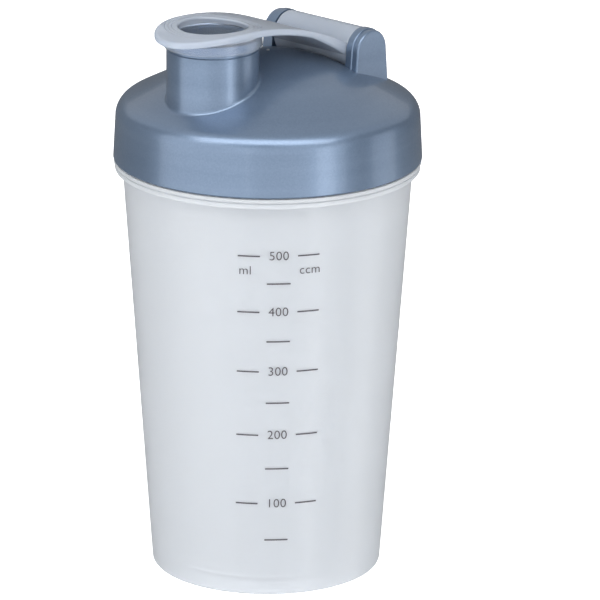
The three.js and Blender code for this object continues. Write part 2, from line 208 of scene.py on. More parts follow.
def drawn_out(outline, start, end, turn=Matrix.Identity(3)):
    """A closed prism: the outline, in the XY plane, drawn from height start to end and then turned."""
    bm = bmesh.new()
    face = bm.faces.new([bm.verts.new((x, y, start)) for x, y in outline])
    grown = bmesh.ops.extrude_face_region(bm, geom=[face])["geom"]
    far_end = [part for part in grown if isinstance(part, bmesh.types.BMVert)]
    bmesh.ops.translate(bm, verts=far_end, vec=(0, 0, end - start))
    bmesh.ops.recalc_face_normals(bm, faces=bm.faces)
    bmesh.ops.transform(bm, matrix=turn.to_4x4(), verts=bm.verts)
    return bm


# Turns a drawing in the XY plane into one in the YZ plane, drawn out along X.
SIDEWAYS = Matrix(((0, 0, 1), (1, 0, 0), (0, 1, 0)))


def bar(radius, start, end, steps=96):
    """A round bar along the hinge's axis."""
    circle = arc(hinge.y, hinge.z, radius, 0, 360, math.tau / steps)[:-1]
    return drawn_out(circle, start, end, SIDEWAYS)


def loose(bm):
    """A scene object for a bmesh, which is used up."""
    mesh = bpy.data.meshes.new("loose")
    bm.to_mesh(mesh)
    bm.free()
    obj = bpy.data.objects.new("loose", mesh)
    bpy.context.collection.objects.link(obj)
    return obj


def combined(first, second, operation="UNION"):
    """One closed skin from two, by a Boolean modifier. Both are used up."""
    kept, tool = loose(first), loose(second)
    change = kept.modifiers.new("combine", "BOOLEAN")
    change.solver = "MANIFOLD"
    change.operation = operation
    change.object = tool
    bm = bmesh.new()
    bm.from_object(kept, bpy.context.evaluated_depsgraph_get())
    for obj in (kept, tool):
        mesh = obj.data
        bpy.data.objects.remove(obj)
        bpy.data.meshes.remove(mesh)
    return bm


def soften(bm, width, sharper_than=50, segments=3, keep=lambda edge: True):
    """Rounds the edges that turn by more than an angle in degrees."""
    limit = math.radians(sharper_than)
    edges = [e for e in bm.edges if e.is_manifold and e.calc_face_angle() > limit and keep(e)]
    bmesh.ops.bevel(
        bm, geom=edges, offset=width, segments=segments, profile=0.5, affect="EDGES", material=-1,
        clamp_overlap=True,
    )
    return bm


# %% Finishing a piece
SHARP = math.radians(32)  # an edge that turns by more than this stays crisp


def finished(name, bm, material, body, replaces=(), even=False):
    """Makes the bmesh, in millimetres, an object of the frame that rides on a body."""
    bmesh.ops.scale(bm, vec=(MM, MM, MM), verts=bm.verts)
    mesh = bpy.data.meshes.new(name)
    bm.to_mesh(mesh)
    bm.free()
    mesh.materials.append(material)
    mesh.shade_smooth()
    mesh.set_sharp_from_angle(angle=SHARP)
    obj = bpy.data.objects.new(name, mesh)
    bpy.context.collection.objects.link(obj)
    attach(obj, body)
    if replaces:
        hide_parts(*replaces)
    if even:
        # A Boolean leaves long thin triangles. Weighing normals by area keeps them from shading unevenly.
        normals = obj.modifiers.new("even_shading", "WEIGHTED_NORMAL")
        normals.keep_sharp = True
    mesh.calc_loop_triangles()
    print(f"{name}: {len(mesh.loop_triangles)} triangles")
    return obj


# %% [markdown]
# ## Materials
#
# Frosted polypropylene for the cup, the same plastic for the cap and the sieve, silicone for the seal, a
# blue-grey plastic with pearl pigment for the lid, and printing ink. Light enters unpigmented plastic and
# spreads in it, so those four use subsurface scattering with some transmission. The pearl is a metallic
# sheen broken up by tiny flakes.

# %% Node helper
def new_material(name, **values):
    """A material with its Principled shader's own sockets set, and a function that adds nodes to it."""
    material = bpy.data.materials.new(name)
    material.use_nodes = True
    tree = material.node_tree
    shader = tree.nodes["Principled BSDF"]
    for socket, value in values.items():
        shader.inputs[socket.replace("_", " ")].default_value = value

    def add(kind, inputs=None, **settings):
        node = tree.nodes.new("ShaderNode" + kind)
        for key, value in settings.items():
            setattr(node, key, value)
        for key, value in (inputs or {}).items():
            if isinstance(value, bpy.types.NodeSocket):
                tree.links.new(value, node.inputs[key])
            else:
                node.inputs[key].default_value = value
        return node

    return material, shader, add


def srgb(red, green, blue):
    """A colour picked on screen, 0 to 255, as the linear values that a shader wants."""
    linear = [((v / 255 + 0.055) / 1.055) ** 2.4 if v > 10 else v / 3294.6 for v in (red, green, blue)]
    return (*linear, 1)


# %% Frosted polypropylene
def frosted_plastic(name, colour, clearness, roughness, depth, bump=0.06):
    """Plastic that lets light in: clearness is the share that goes through, depth how far it spreads."""
    material, shader, add = new_material(
        name, Base_Color=colour, Roughness=roughness, IOR=1.49, Transmission_Weight=clearness,
        Subsurface_Weight=1.0, Subsurface_Radius=(1.0, 1.0, 1.0), Subsurface_Scale=depth,
    )
    tree = material.node_tree
    place = add("TexCoord").outputs["Object"]
    skin = add("TexNoise", {"Vector": place, "Scale": 900.0, "Detail": 2.0})
    patches_and_painted_shade = add("TexNoise", {"Vector": place, "Scale": 38.0, "Detail": 3.0})
    limits = {"To Min": roughness - 0.05, "To Max": roughness + 0.06}
    uneven = add("MapRange", {"Value": patches_and_painted_shade.outputs["Fac"], **limits})
    tree.links.new(uneven.outputs["Result"], shader.inputs["Roughness"])
    relief = add("Bump", {"Height": skin.outputs["Fac"], "Strength": bump, "Distance": 0.0002})
    tree.links.new(relief.outputs["Normal"], shader.inputs["Normal"])
    return material


cup_plastic = frosted_plastic("frosted_plastic", srgb(205, 209, 214), 0.42, 0.3, 0.002, 0.03)
cap_plastic = frosted_plastic("clear_plastic", srgb(174, 183, 196), 0.3, 0.24, 0.0015)
sieve_plastic = frosted_plastic("natural_plastic", srgb(236, 240, 243), 0.3, 0.42, 0.004)
silicone = frosted_plastic("silicone", srgb(232, 236, 239), 0.15, 0.5, 0.003)


# %% Thin walls of the cap
def clear_where_thin(material, middle, radius, top, clearness, colour):
    """Lets more light through near an upright axis and below a height, where the walls are thin."""
    tree = material.node_tree
    shader = tree.nodes["Principled BSDF"]

    def add(kind, operation, *inputs):
        node = tree.nodes.new("ShaderNode" + kind)
        node.operation = operation
        for socket, value in zip(node.inputs, inputs):
            if isinstance(value, bpy.types.NodeSocket):
                tree.links.new(value, socket)
            else:
                socket.default_value = value
        return node

    place = tree.nodes.new("ShaderNodeTexCoord").outputs["Object"]
    flat = add("VectorMath", "MULTIPLY", place, (1, 1, 0)).outputs["Vector"]
    away = add("VectorMath", "DISTANCE", flat, tuple(middle)).outputs["Value"]
    height = tree.nodes.new("ShaderNodeSeparateXYZ")
    tree.links.new(place, height.inputs["Vector"])
    near = add("Math", "LESS_THAN", away, radius).outputs["Value"]
    low = add("Math", "LESS_THAN", height.outputs["Z"], top).outputs["Value"]
    thin = add("Math", "MULTIPLY", near, low).outputs["Value"]
    thick = shader.inputs["Transmission Weight"].default_value
    mixed = add("Math", "MULTIPLY_ADD", thin, clearness - thick, thick)
    tree.links.new(mixed.outputs["Value"], shader.inputs["Transmission Weight"])
    tint = tree.nodes.new("ShaderNodeMix")
    tint.data_type = "RGBA"
    tint.inputs["A"].default_value = shader.inputs["Base Color"].default_value
    tint.inputs["B"].default_value = colour
    tree.links.new(thin, tint.inputs["Factor"])
    tree.links.new(tint.outputs["Result"], shader.inputs["Base Color"])


THIN_R = 15.6  # just past the sleeve
THIN_TOP = CAP_TOP - 2.4  # just under the strap
clear_where_thin(cap_plastic, SPOUT * MM, THIN_R * MM, THIN_TOP * MM, 0.92, srgb(226, 236, 250))


# %% Blue-grey plastic with pearl
def pearl_plastic():
    """Flakes that each have a roughness of their own, in a blue with faint level streaks of painted shade.
    """
    material, shader, add = new_material(
        "pearl_plastic", Base_Color=srgb(104, 122, 146), Metallic=0.65, Roughness=0.32, Coat_Weight=0.4,
        Coat_Roughness=0.1,
    )
    tree = material.node_tree
    place = add("TexCoord").outputs["Object"]
    flakes = add("TexVoronoi", {"Vector": place, "Scale": 2100.0})
    tone = add("SeparateColor", {"Color": flakes.outputs["Color"]})
    spark = add("MapRange", {"Value": tone.outputs["Red"], "To Min": 0.29, "To Max": 0.36})
    tree.links.new(spark.outputs["Result"], shader.inputs["Roughness"])
    # Faint level streaks in the blue are painted shade. They stand for the shading of sink marks
    # over the lid's inner thread.
    stretched = add("Mapping", {"Vector": place, "Scale": (7.0, 7.0, 150.0)})
    painted_shade_streaks = add("TexNoise", {"Vector": stretched.outputs["Vector"], "Scale": 1.0, "Detail": 3.0})
    limits = {"From Min": 0.3, "From Max": 0.7, "To Max": 0.7}
    patches_and_painted_shade = add("MapRange", {"Value": painted_shade_streaks.outputs["Fac"], **limits})
    spread = {0: tone.outputs["Green"], 1: 0.3, 2: patches_and_painted_shade.outputs["Result"]}
    flake_tone_and_painted_shade = add("Math", spread, operation="MULTIPLY_ADD")
    blue = add("Mix", {"Factor": flake_tone_and_painted_shade.outputs["Value"]}, data_type="RGBA")
    blue.inputs["A"].default_value = srgb(97, 115, 138)
    blue.inputs["B"].default_value = srgb(112, 130, 153)
    tree.links.new(blue.outputs["Result"], shader.inputs["Base Color"])
    return material


pearl = pearl_plastic()

# %% Printing ink
ink = new_material("scale_ink", Base_Color=srgb(74, 70, 76), Roughness=0.45)[0]
print("materials:", [m.name for m in bpy.data.materials])

# %% [markdown]
# ## The cup
#
# A thin cone with a hollow foot, so that it stands on a ring and not on its whole floor. Under the rim a
# ledge in two steps takes the lid's edge. Its outline is swung once round. The screw thread on the neck is
# a small trapezoid swung with a rise at every step, which is what spin's dvec does.

# %% Cup
WALL = 1.3
RECESS = 3.9  # height of the hollow under the floor
FLOOR_TOP = RECESS + 1.5
FOOT_RING = 4.2  # width of the ring that the cup stands on
FOOT_RING_TOP = 6.2  # and its width where the hollow's roof starts
INNER_STEP = LEDGE_LOW - 3  # the inside starts to widen into the neck here
PITCH = 6.0
THREAD_TURNS = 1.25
THREAD_DEPTH = 1.1
THREAD_ROOT = 1.2  # half the rib's height at the wall
THREAD_CREST = 0.5  # and at its crest
THREAD_SUNK = 0.4  # the rib starts this deep in the wall that it grows from
THREAD_FADE = 0.075  # turns in which each end fades out
NECK_THREAD_Z = LEDGE_TOP + 4.2


def cup_wall(z):
    """Outside radius of the cup at a height."""
    return FOOT_R + (WALL_TOP_R - FOOT_R) * z / LEDGE_LOW


def thread(root, crest, start_z, start_angle):
    """A rib wound up the neck or the lid's wall, thinning out at both ends."""
    sunk = root - THREAD_SUNK if root < crest else root + THREAD_SUNK
    lower = [(sunk, -THREAD_ROOT), (root, -THREAD_ROOT), (crest, -THREAD_CREST)]
    corners = lower + [(r, -z) for r, z in reversed(lower)]
    bm = bmesh.new()
    verts = [bm.verts.new((r, 0, start_z + z)) for r, z in corners]
    face = bm.faces.new(verts)
    steps = round(THREAD_TURNS * ROUND)
    bmesh.ops.spin(
        bm, geom=[face], cent=(0, 0, 0), axis=(0, 0, 1), angle=math.tau * THREAD_TURNS, steps=steps,
        dvec=(0, 0, PITCH * THREAD_TURNS / steps), use_duplicate=False,
    )
    bmesh.ops.holes_fill(bm, edges=[e for e in bm.edges if e.is_boundary], sides=0)
    for vert in bm.verts:
        radius = math.hypot(vert.co.x, vert.co.y)
        turns = math.atan2(vert.co.y, vert.co.x) % math.tau / math.tau
        # The same angle comes round twice, and the height tells which turn a corner is on.
        if (vert.co.z - start_z) / PITCH - turns > 0.5:
            turns += 1
        fade = min(1, turns / THREAD_FADE, (THREAD_TURNS - turns) / THREAD_FADE)
        if abs(radius - crest) < 0.2 and fade < 1:
            wanted = root + (crest - root) * max(fade, 0.02)
            vert.co.x *= wanted / radius
            vert.co.y *= wanted / radius
    bmesh.ops.recalc_face_normals(bm, faces=bm.faces)
    turned = Matrix.Rotation(math.radians(start_angle), 3, "Z")
    bmesh.ops.rotate(bm, verts=bm.verts, cent=(0, 0, 0), matrix=turned)
    return bm


cup_outline = rounded([
    (0, RECESS, 0),
    (cup_wall(0) - FOOT_RING_TOP, RECESS, 1.2),
    (cup_wall(0) - FOOT_RING, 0, 0.6),
    (cup_wall(0), 0, 1.4),
    (WALL_TOP_R, LEDGE_LOW, 0.25),
    (LOWER_LEDGE_R, LEDGE_LOW, 0.4),
    (LOWER_LEDGE_R, LEDGE_STEP - 0.35, 0.25),
    (LOWER_LEDGE_R - 0.7, LEDGE_STEP, 0.15),
    (LEDGE_R, LEDGE_STEP, 0.45),
    (LEDGE_R, LEDGE_TOP, 0.4),
    (NECK_R, LEDGE_TOP, 0.2),
    (NECK_R, NECK_TOP, 0.5),
    (NECK_BORE, NECK_TOP, 0.5),
    (NECK_BORE, LEDGE_TOP, 1.0),
    (cup_wall(INNER_STEP) - WALL, INNER_STEP, 2.0),
    (cup_wall(FLOOR_TOP) - WALL, FLOOR_TOP, 3.0),
    (0, FLOOR_TOP, 0),
])
cup = combined(spun(cup_outline), thread(NECK_R, NECK_R + THREAD_DEPTH, NECK_THREAD_Z, 0))
finished("shaker_cup", cup, cup_plastic, "cup", ["cup"])

# %% [markdown]
# ## The printed scale
#
# The marks stand where the cup really holds that much, so their heights come from its volume: the cone is
# filled in thin slices until the mark's volume is reached. Each numeral and line is laid out flat, then
# wrapped round the cone a hair's breadth off its skin, as ink is. Fifties have one short line, and hundreds
# have a numeral between two long ones.

# %% Scale
SCALE_TURN = math.radians(47.9)  # the scale's middle, round from the front
PRINT_RISE = 0.5  # the print sits this much above the true level, within a printer's tolerance
INK = 0.06  # thickness of the ink
LINE = 0.42  # height of a line
LINE_STEPS = 6  # parts of a line, so that it bends round the cup
SHORT_LINE = 3.6  # half its length
LONG_LINE = (5.8, 12.6)  # from the middle
NUMERAL = 4.05
UNIT = 4.0
UNIT_DROP = 4.7  # the units' names stand this far below the top mark
LETTER_WEIGHT = -0.008  # share of its size by which a letter is drawn thinner
LETTER_SPACING = 1.04


def height_of(millilitres):
    """Height at which the cup holds that volume."""
    z = FLOOR_TOP
    volume = 0.0
    slice_height = 0.05
    while volume < millilitres * 1000:
        volume += math.pi * (cup_wall(z) - WALL) ** 2 * slice_height
        z += slice_height
    return z


def flat_line(left, right, z):
    """A level line, as a flat mesh."""
    bm = bmesh.new()
    bmesh.ops.create_grid(bm, x_segments=LINE_STEPS, y_segments=1, size=0.5)
    bmesh.ops.scale(bm, vec=(right - left, LINE, 1), verts=bm.verts)
    bmesh.ops.translate(bm, vec=((left + right) / 2, z, 0), verts=bm.verts)
    return bm


def flat_text(words, across, z, size):
    """Words centred on a point, as a flat mesh."""
    curve = bpy.data.curves.new("words", "FONT")
    curve.body = words
    curve.size = size
    curve.offset = LETTER_WEIGHT * size
    curve.align_x = "CENTER"
    curve.align_y = "CENTER"
    curve.space_character = LETTER_SPACING
    obj = bpy.data.objects.new("words", curve)
    bpy.context.collection.objects.link(obj)
    mesh = bpy.data.meshes.new_from_object(obj.evaluated_get(bpy.context.evaluated_depsgraph_get()))
    bm = bmesh.new()
    bm.from_mesh(mesh)
    bpy.data.objects.remove(obj)
    bpy.data.meshes.remove(mesh)
    bmesh.ops.remove_doubles(bm, verts=bm.verts, dist=1e-4)
    bmesh.ops.translate(bm, vec=(across, z, 0), verts=bm.verts)
    return bm


def printed(name, flats):
    """Joins flat marks, gives them the ink's thickness and wraps them round the cup."""
    bm = bmesh.new()
    for flat in flats:
        mesh = bpy.data.meshes.new("flat")
        flat.to_mesh(mesh)
        flat.free()
        bm.from_mesh(mesh)
        bpy.data.meshes.remove(mesh)
    bmesh.ops.solidify(bm, geom=bm.faces[:], thickness=INK)
    for vert in bm.verts:
        radius = cup_wall(vert.co.y) + INK / 2 + abs(vert.co.z)
        angle = SCALE_TURN + vert.co.x / cup_wall(vert.co.y)
        vert.co = Vector((radius * math.sin(angle), -radius * math.cos(angle), vert.co.y))
    # Recalculating normals guesses wrong on shapes as thin as ink, but a volume can't be wrong.
    if bm.calc_volume(signed=True) < 0:
        bmesh.ops.reverse_faces(bm, faces=bm.faces)
    finished(name, bm, ink, "cup")


near, far = LONG_LINE
for mark in range(50, 501, 50):
    z = height_of(mark) + PRINT_RISE
    if mark % 100:
        printed(f"mark_{mark}", [flat_line(-SHORT_LINE, SHORT_LINE, z)])
    else:
        printed(f"mark_{mark}", [flat_line(-far, -near, z), flat_line(near, far, z)])
        printed(f"numeral_{mark}", [flat_text(str(mark), 0, z, NUMERAL)])
unit_z = height_of(500) + PRINT_RISE - UNIT_DROP
for unit, across in (("ml", -10.3), ("ccm", 9.6)):
    printed(f"unit_{unit}", [flat_text(unit, across, unit_z, UNIT)])
print("500 ml stands", round(height_of(500), 1), "mm high")

# %% [markdown]
# ## The lid
#
# One moulding with a skirt, a soft shoulder and a dome that steepens towards its edge. The spout is a plain
# tube, but its foot flares into the dome with a small fillet. That fillet must follow the dome up and down,
# so it is spun flat first and each of its corners is then raised by the dome's height there.

# %% Dome
shoulder_centre = SHOULDER_R - SHOULDER_ROUND
dome_edge_r = shoulder_centre + SHOULDER_ROUND * math.sin(DOME_SLOPE)
dome_edge_z = SHOULDER_Z + SHOULDER_ROUND * math.cos(DOME_SLOPE)
dome_height = dome_edge_r * math.tan(DOME_SLOPE) / DOME_POWER


def dome(r):
    """Height of the lid's outside at a distance from its middle."""
    return dome_edge_z + dome_height * (1 - (r / dome_edge_r) ** DOME_POWER)


def dome_points(start, drop, steps=26):
    """The dome's outline from a distance to the middle, lowered by the wall for its inside."""
    radii = [start * (1 - k / steps) for k in range(steps + 1)]
    return [Vector((r, dome(r) - drop)) for r in radii]


print("dome's top", round(dome(0), 1), "mm high")

# %% Lid shell
PLUG_RING_R = NECK_BORE - GAP
PLUG_RING_WALL = 1.5
PLUG_RING_ROUND = 0.4
SEAL_SEAT = seal_high.z + GAP
PLUG_RING_LOW = SEAL_SEAT - 8.1
SKIRT_BORE = SHOULDER_R - LID_WALL
SKIRT_EDGE_ROUND = 0.5
SKIRT_CHAMFER = 0.3  # inside the skirt's lower edge
FINE_STEP = math.radians(5)
inner_round = SHOULDER_ROUND - LID_WALL
seat_angle = math.degrees(math.asin((SEAL_SEAT - SHOULDER_Z) / inner_round))
ring_in = PLUG_RING_R - PLUG_RING_WALL
ring_round_z = PLUG_RING_LOW + PLUG_RING_ROUND

outside = arc(SKIRT_R - SKIRT_EDGE_ROUND, lid_low.z + SKIRT_EDGE_ROUND, SKIRT_EDGE_ROUND, -90, 0)
outside += arc(shoulder_centre, SHOULDER_Z, SHOULDER_ROUND, 0, 90 - math.degrees(DOME_SLOPE), FINE_STEP)
outside += dome_points(dome_edge_r, 0)[1:]
inside = [Vector((SKIRT_BORE + SKIRT_CHAMFER, lid_low.z)), Vector((SKIRT_BORE, lid_low.z + SKIRT_CHAMFER))]
inside += arc(shoulder_centre, SHOULDER_Z, inner_round, 0, seat_angle)
inside += [Vector((PLUG_RING_R, SEAL_SEAT))]
inside += arc(PLUG_RING_R - PLUG_RING_ROUND, ring_round_z, PLUG_RING_ROUND, 0, -90)
inside += arc(ring_in + PLUG_RING_ROUND, ring_round_z, PLUG_RING_ROUND, -90, -180)
inside += dome_points(ring_in, DOME_WALL)
lid = spun(inside[::-1] + outside)

# %% Spout
FILLET = 0.9
SPOUT_ROOT = -3.0  # the tube starts this deep under the dome's skin
SPOUT_STEP = 3.9  # height of the narrower stretch under the rim
SMALL_ROUND = 128  # steps round the spout and the cap


def spout_skin():
    """The spout's tube, with a flared foot that follows the dome."""
    half = (SPOUT_TOP_R - SPOUT_BORE) / 2
    step_z = SPOUT_TOP - SPOUT_STEP
    foot = arc(SPOUT_R + FILLET, FILLET, FILLET, 270, 180)
    limit = foot[-1].y + 0.01
    outline = [Vector((SPOUT_BORE, SPOUT_ROOT)), Vector((SPOUT_R + FILLET, SPOUT_ROOT))] + foot
    outline += [Vector((SPOUT_R, step_z - 0.3)), Vector((SPOUT_TOP_R, step_z))]
    outline += arc(SPOUT_TOP_R - half, SPOUT_TOP - half, half, 0, 180)
    bm = spun(outline, SMALL_ROUND, SPOUT)
    for vert in bm.verts:
        if vert.co.z <= limit:
            vert.co.z += dome(math.hypot(vert.co.x, vert.co.y))
    return bm


def plain_rod(radius, low, high):
    """A solid rod on the spout's axis."""
    corners = [(0, low), (radius, low), (radius, high), (0, high)]
    return spun([Vector(corner) for corner in corners], SMALL_ROUND, SPOUT)


lid = combined(lid, plain_rod(SPOUT_BORE, PLUG_RING_LOW, SPOUT_TOP - 1), "DIFFERENCE")
lid = combined(lid, spout_skin())

# %% [markdown]
# ### The hinge ears
#
# Each ear is a D-shaped plate with a slightly smaller panel raised on its outer face. Both have a rounded
# rim, and the two rims give the double line of light that shows on the real one. The cap's pins turn in
# blind holes in the ears, and a shallow trough in the dome leaves room for its barrel.

# %% Ears
EAR_R = 7.0
EAR_BODY = 2.4
EAR_STEP = 0.4  # the panel is this much smaller than the plate
EAR_FLARE = 1.3  # the plates widen by this much down to their foot
EAR_FOOT = SHOULDER_Z + 4  # hidden inside the dome
EAR_OVERLAP = 0.5  # the panel starts this deep in the plate
PLATE_ROUND = 0.35
PANEL_ROUND = 0.6
EAR_ARC_STEP = math.radians(4)


def ear_plate(side, start, end, radius, edge):
    """A D-shaped plate of the ear between two distances from the middle."""
    flare = radius + EAR_FLARE
    outline = [Vector((hinge.y - flare, EAR_FOOT)), Vector((hinge.y + flare, EAR_FOOT))]
    outline += arc(hinge.y, hinge.z, radius, 0, 180, EAR_ARC_STEP)
    bm = drawn_out(outline, min(side * start, side * end), max(side * start, side * end), SIDEWAYS)

    def on_rim(e):
        outer = all(abs(v.co.x - side * end) < 1e-4 for v in e.verts)
        foot = all(v.co.z < EAR_FOOT + 0.1 for v in e.verts)
        return outer and not foot

    return soften(bm, edge, 60, 5, on_rim)


for side in (-1, 1):
    lid = combined(lid, ear_plate(side, EAR_IN, EAR_IN + EAR_BODY, EAR_R, PLATE_ROUND))
    panel = ear_plate(side, EAR_IN + EAR_BODY - EAR_OVERLAP, EAR_OUT, EAR_R - EAR_STEP, PANEL_ROUND)
    lid = combined(lid, panel)

# %% Trough under the barrel, pin holes and thread
TROUGH_ROOM = 0.8
PIN_STEPS = 48
HOLE_R = 2.2
HOLE_END = 18.1
LID_LEAD = 20  # degrees by which the lid's thread starts before the neck's
FLANK_DROP = 1.9  # the lid's thread lies this far below the neck's

lid = combined(lid, bar(BARREL_R + TROUGH_ROOM, -EAR_IN, EAR_IN), "DIFFERENCE")
for side in (-1, 1):
    ends = sorted((side * (EAR_IN - 1), side * HOLE_END))
    lid = combined(lid, bar(HOLE_R, *ends, PIN_STEPS), "DIFFERENCE")
thread_z = NECK_THREAD_Z - FLANK_DROP - PITCH * LID_LEAD / 360
lid = combined(lid, thread(SKIRT_BORE, NECK_R + GAP, thread_z, -LID_LEAD))
finished("blue_lid", lid, pearl, "lid", ["screw_lid"], even=True)

# %% [markdown]
# ### The gate mark
#
# Molten plastic entered the mould at the dome's middle, and the snapped stalk left a small bump there.
# Its pale colour is a painted highlight, the glint on that bump.
# It is a little cap of a ball, spun as a piece of its own.

# %% Gate mark
GATE_R = 0.6
gate_foot = dome(0) - 0.3
gate = [Vector((0, gate_foot)), Vector((GATE_R + 0.02, gate_foot))] + arc(0, dome(0) - 0.25, GATE_R, 25, 90)
# The pale silicone colour on this bump is a painted highlight for its glint.
finished("gate_bump_painted_glint", spun(gate), silicone, "lid")

# %% [markdown]
# ## The flip cap
#
# A strap that is bent to one long arc from its nose to the hinge. It is easiest to draw it flat, cut it
# across many times, and then lower each corner to the arc. The sleeve and the hollow plug that hold the
# spout's rim between them stay upright, and so does the barrel of the hinge.

# %% Strap
ARCH_R = 101.0
ARCH_Y = SPOUT.y - 2.4  # the arch is highest here
NOSE = 20.1  # reach of the thumb tab in front of the spout's axis
NOSE_STEPS = 60
THICK = 2.1
ROOT_THICK = 4.1  # where the strap meets the barrel
ROOT_Y = 4.0  # where it starts to thicken
STRAP_ROUND = 0.75


def arch(y):
    """Height of the strap's upper face."""
    return CAP_TOP - ARCH_R + math.sqrt(ARCH_R**2 - (y - ARCH_Y) ** 2)


def strap_thickness(y):
    """The strap is even over the spout and thickens towards the barrel."""
    reach = (y - ROOT_Y) / (hinge.y - BARREL_R - ROOT_Y)
    return THICK + (ROOT_THICK - THICK) * max(0.0, reach)


def bent(bm):
    """Lowers a flat shape whose upper face is at 0 to the arch. Depth below 0 grows with the strap."""
    for vert in bm.verts:
        depth = -vert.co.z
        grown = depth * strap_thickness(vert.co.y) / THICK if depth > 0 else depth
        vert.co.z = arch(vert.co.y) - grown
    return bm


def strap():
    """The flat strap with its rounded rim, cut across every millimetre and bent to the arch."""
    angles = [math.pi * (1 + k / NOSE_STEPS) for k in range(NOSE_STEPS + 1)]
    nose = [Vector((CAP_WIDE * math.cos(a), SPOUT.y + NOSE * math.sin(a))) for a in angles]
    end = hinge.y - 5.0  # inside the barrel
    outline = nose + [Vector((CAP_WIDE, end)), Vector((-CAP_WIDE, end))]
    bm = drawn_out(outline, -THICK, 0)

    def on_rim(e):
        first, last = [vert.co for vert in e.verts]
        return abs(first.z - last.z) < 0.01 and first.y + last.y < 2 * end - 0.1

    soften(bm, STRAP_ROUND, 60, 5, on_rim)
    for cut in range(math.ceil(SPOUT.y - NOSE) + 1, math.floor(end)):
        everything = bm.verts[:] + bm.edges[:] + bm.faces[:]
        bmesh.ops.bisect_plane(bm, geom=everything, plane_co=(0, cut, 0), plane_no=(0, 1, 0), dist=1e-4)
    return bent(bm)


# %% Sleeve, plug and well
CROWN = 3.0  # the cap's top stands this far above the sleeve's seat on the spout
SEAT_R = 14.5
SLEEVE_LOW = CAP_TOP - CROWN - 3.4
PLUG_LOW = CAP_TOP - CROWN - 7.0
PLUG_R = 12.0
PLUG_TIP_R = 10.7
WELL_R = 10.6
WELL_FLOOR_R = 9.3
WELL_LIP = 0.7
WELL_FLOOR = PLUG_LOW + 1.4
UNDER_STRAP = CAP_TOP - 1  # only what lies above this follows the arch
RIM_GROOVES = (12.7, 13.8, 14.9)
GROOVE_WIDE = 0.6
GROOVE_DEEP = 0.22


def follow_arch(bm, above):
    """Lowers whatever lies above a height as the strap's arch does."""
    for vert in bm.verts:
        if vert.co.z > above:
            vert.co.z += arch(vert.co.y) - CAP_TOP
    return bm


def sleeve_skin():
    """The thin wall outside the spout, a little wider at its mouth."""
    high = CAP_TOP - 0.6
    outline = [(SEAT_R, SLEEVE_LOW, 0.2), (15.2, SLEEVE_LOW, 0.3), (15.05, high, 0), (14.3, high, 0)]
    return follow_arch(spun(rounded(outline), SMALL_ROUND, SPOUT), UNDER_STRAP)


def plug_skin():
    """The plug inside the spout, tapered so that it finds its way in."""
    high = CAP_TOP - 0.7
    outline = [
        (0, PLUG_LOW, 0), (PLUG_TIP_R, PLUG_LOW, 0.8), (PLUG_R, CAP_TOP - CROWN, 0.5), (PLUG_R, high, 0),
        (0, high, 0),
    ]
    return follow_arch(spun(rounded(outline), SMALL_ROUND, SPOUT), UNDER_STRAP)


def well_tool():
    """The well's inside, with a rounded lip that follows the arch."""
    over = CAP_TOP + 0.4
    outline = rounded([(0, WELL_FLOOR, 0), (WELL_FLOOR_R, WELL_FLOOR, 1.2), (WELL_R, CAP_TOP - 4, 0)])
    outline += arc(WELL_R + WELL_LIP, CAP_TOP - WELL_LIP, WELL_LIP, 180, 100, math.radians(10))
    outline += [Vector((WELL_R + WELL_LIP, over)), Vector((0, over))]
    return follow_arch(spun(outline, SMALL_ROUND, SPOUT), CAP_TOP - 1.5)


def groove_tool(radius):
    """A ring of wedge section, which cuts a fine step into the strap round the well."""
    wedge = [(radius - GROOVE_WIDE, 0.2), (radius, -GROOVE_DEEP), (radius + 0.15, 0.2)]
    outline = [Vector(point) + Vector((0, CAP_TOP)) for point in wedge]
    return follow_arch(spun(outline, SMALL_ROUND, SPOUT), 0)


cap = combined(strap(), plain_rod(SEAT_R, PLUG_LOW, CAP_TOP - CROWN), "DIFFERENCE")
cap = combined(cap, sleeve_skin())
cap = combined(cap, plug_skin())
cap = combined(cap, well_tool(), "DIFFERENCE")
for radius in RIM_GROOVES:
    cap = combined(cap, groove_tool(radius), "DIFFERENCE")

# %% [markdown]
# ### The cap's barrel
#
# The barrel is hollow and open underneath, because a thick moulding would sink as it cools. Two thin webs
# stiffen it. A pin on each end turns in the lid's ears.

# %% Barrel
PIN_R = 1.9
PIN_LENGTH = 2.5
BARREL_WALL = 1.5
SLOT = 4.2  # half width of the opening underneath
SLOT_ANGLE = 37  # where the hollow's arc meets it, in degrees below the level
WEB_X = 8
WEB_THICKNESS = 1.2
web_box = [Vector((hinge.y + y, hinge.z + z)) for y, z in ((-7, -2), (7, -2), (7, 8), (-7, 8))]


def barrel_hollow():
    """The barrel's inside, open underneath and parted by the webs."""
    outline = arc(hinge.y, hinge.z, BARREL_R - BARREL_WALL, -SLOT_ANGLE, 180 + SLOT_ANGLE, EAR_ARC_STEP)
    outline += [Vector((hinge.y - SLOT, hinge.z - 8)), Vector((hinge.y + SLOT, hinge.z - 8))]
    end = CAP_WIDE - BARREL_WALL
    bm = drawn_out(outline, -end, end, SIDEWAYS)
    for x in (-WEB_X, WEB_X):
        web = drawn_out(web_box, x - WEB_THICKNESS / 2, x + WEB_THICKNESS / 2, SIDEWAYS)
        bm = combined(bm, web, "DIFFERENCE")
    return bm


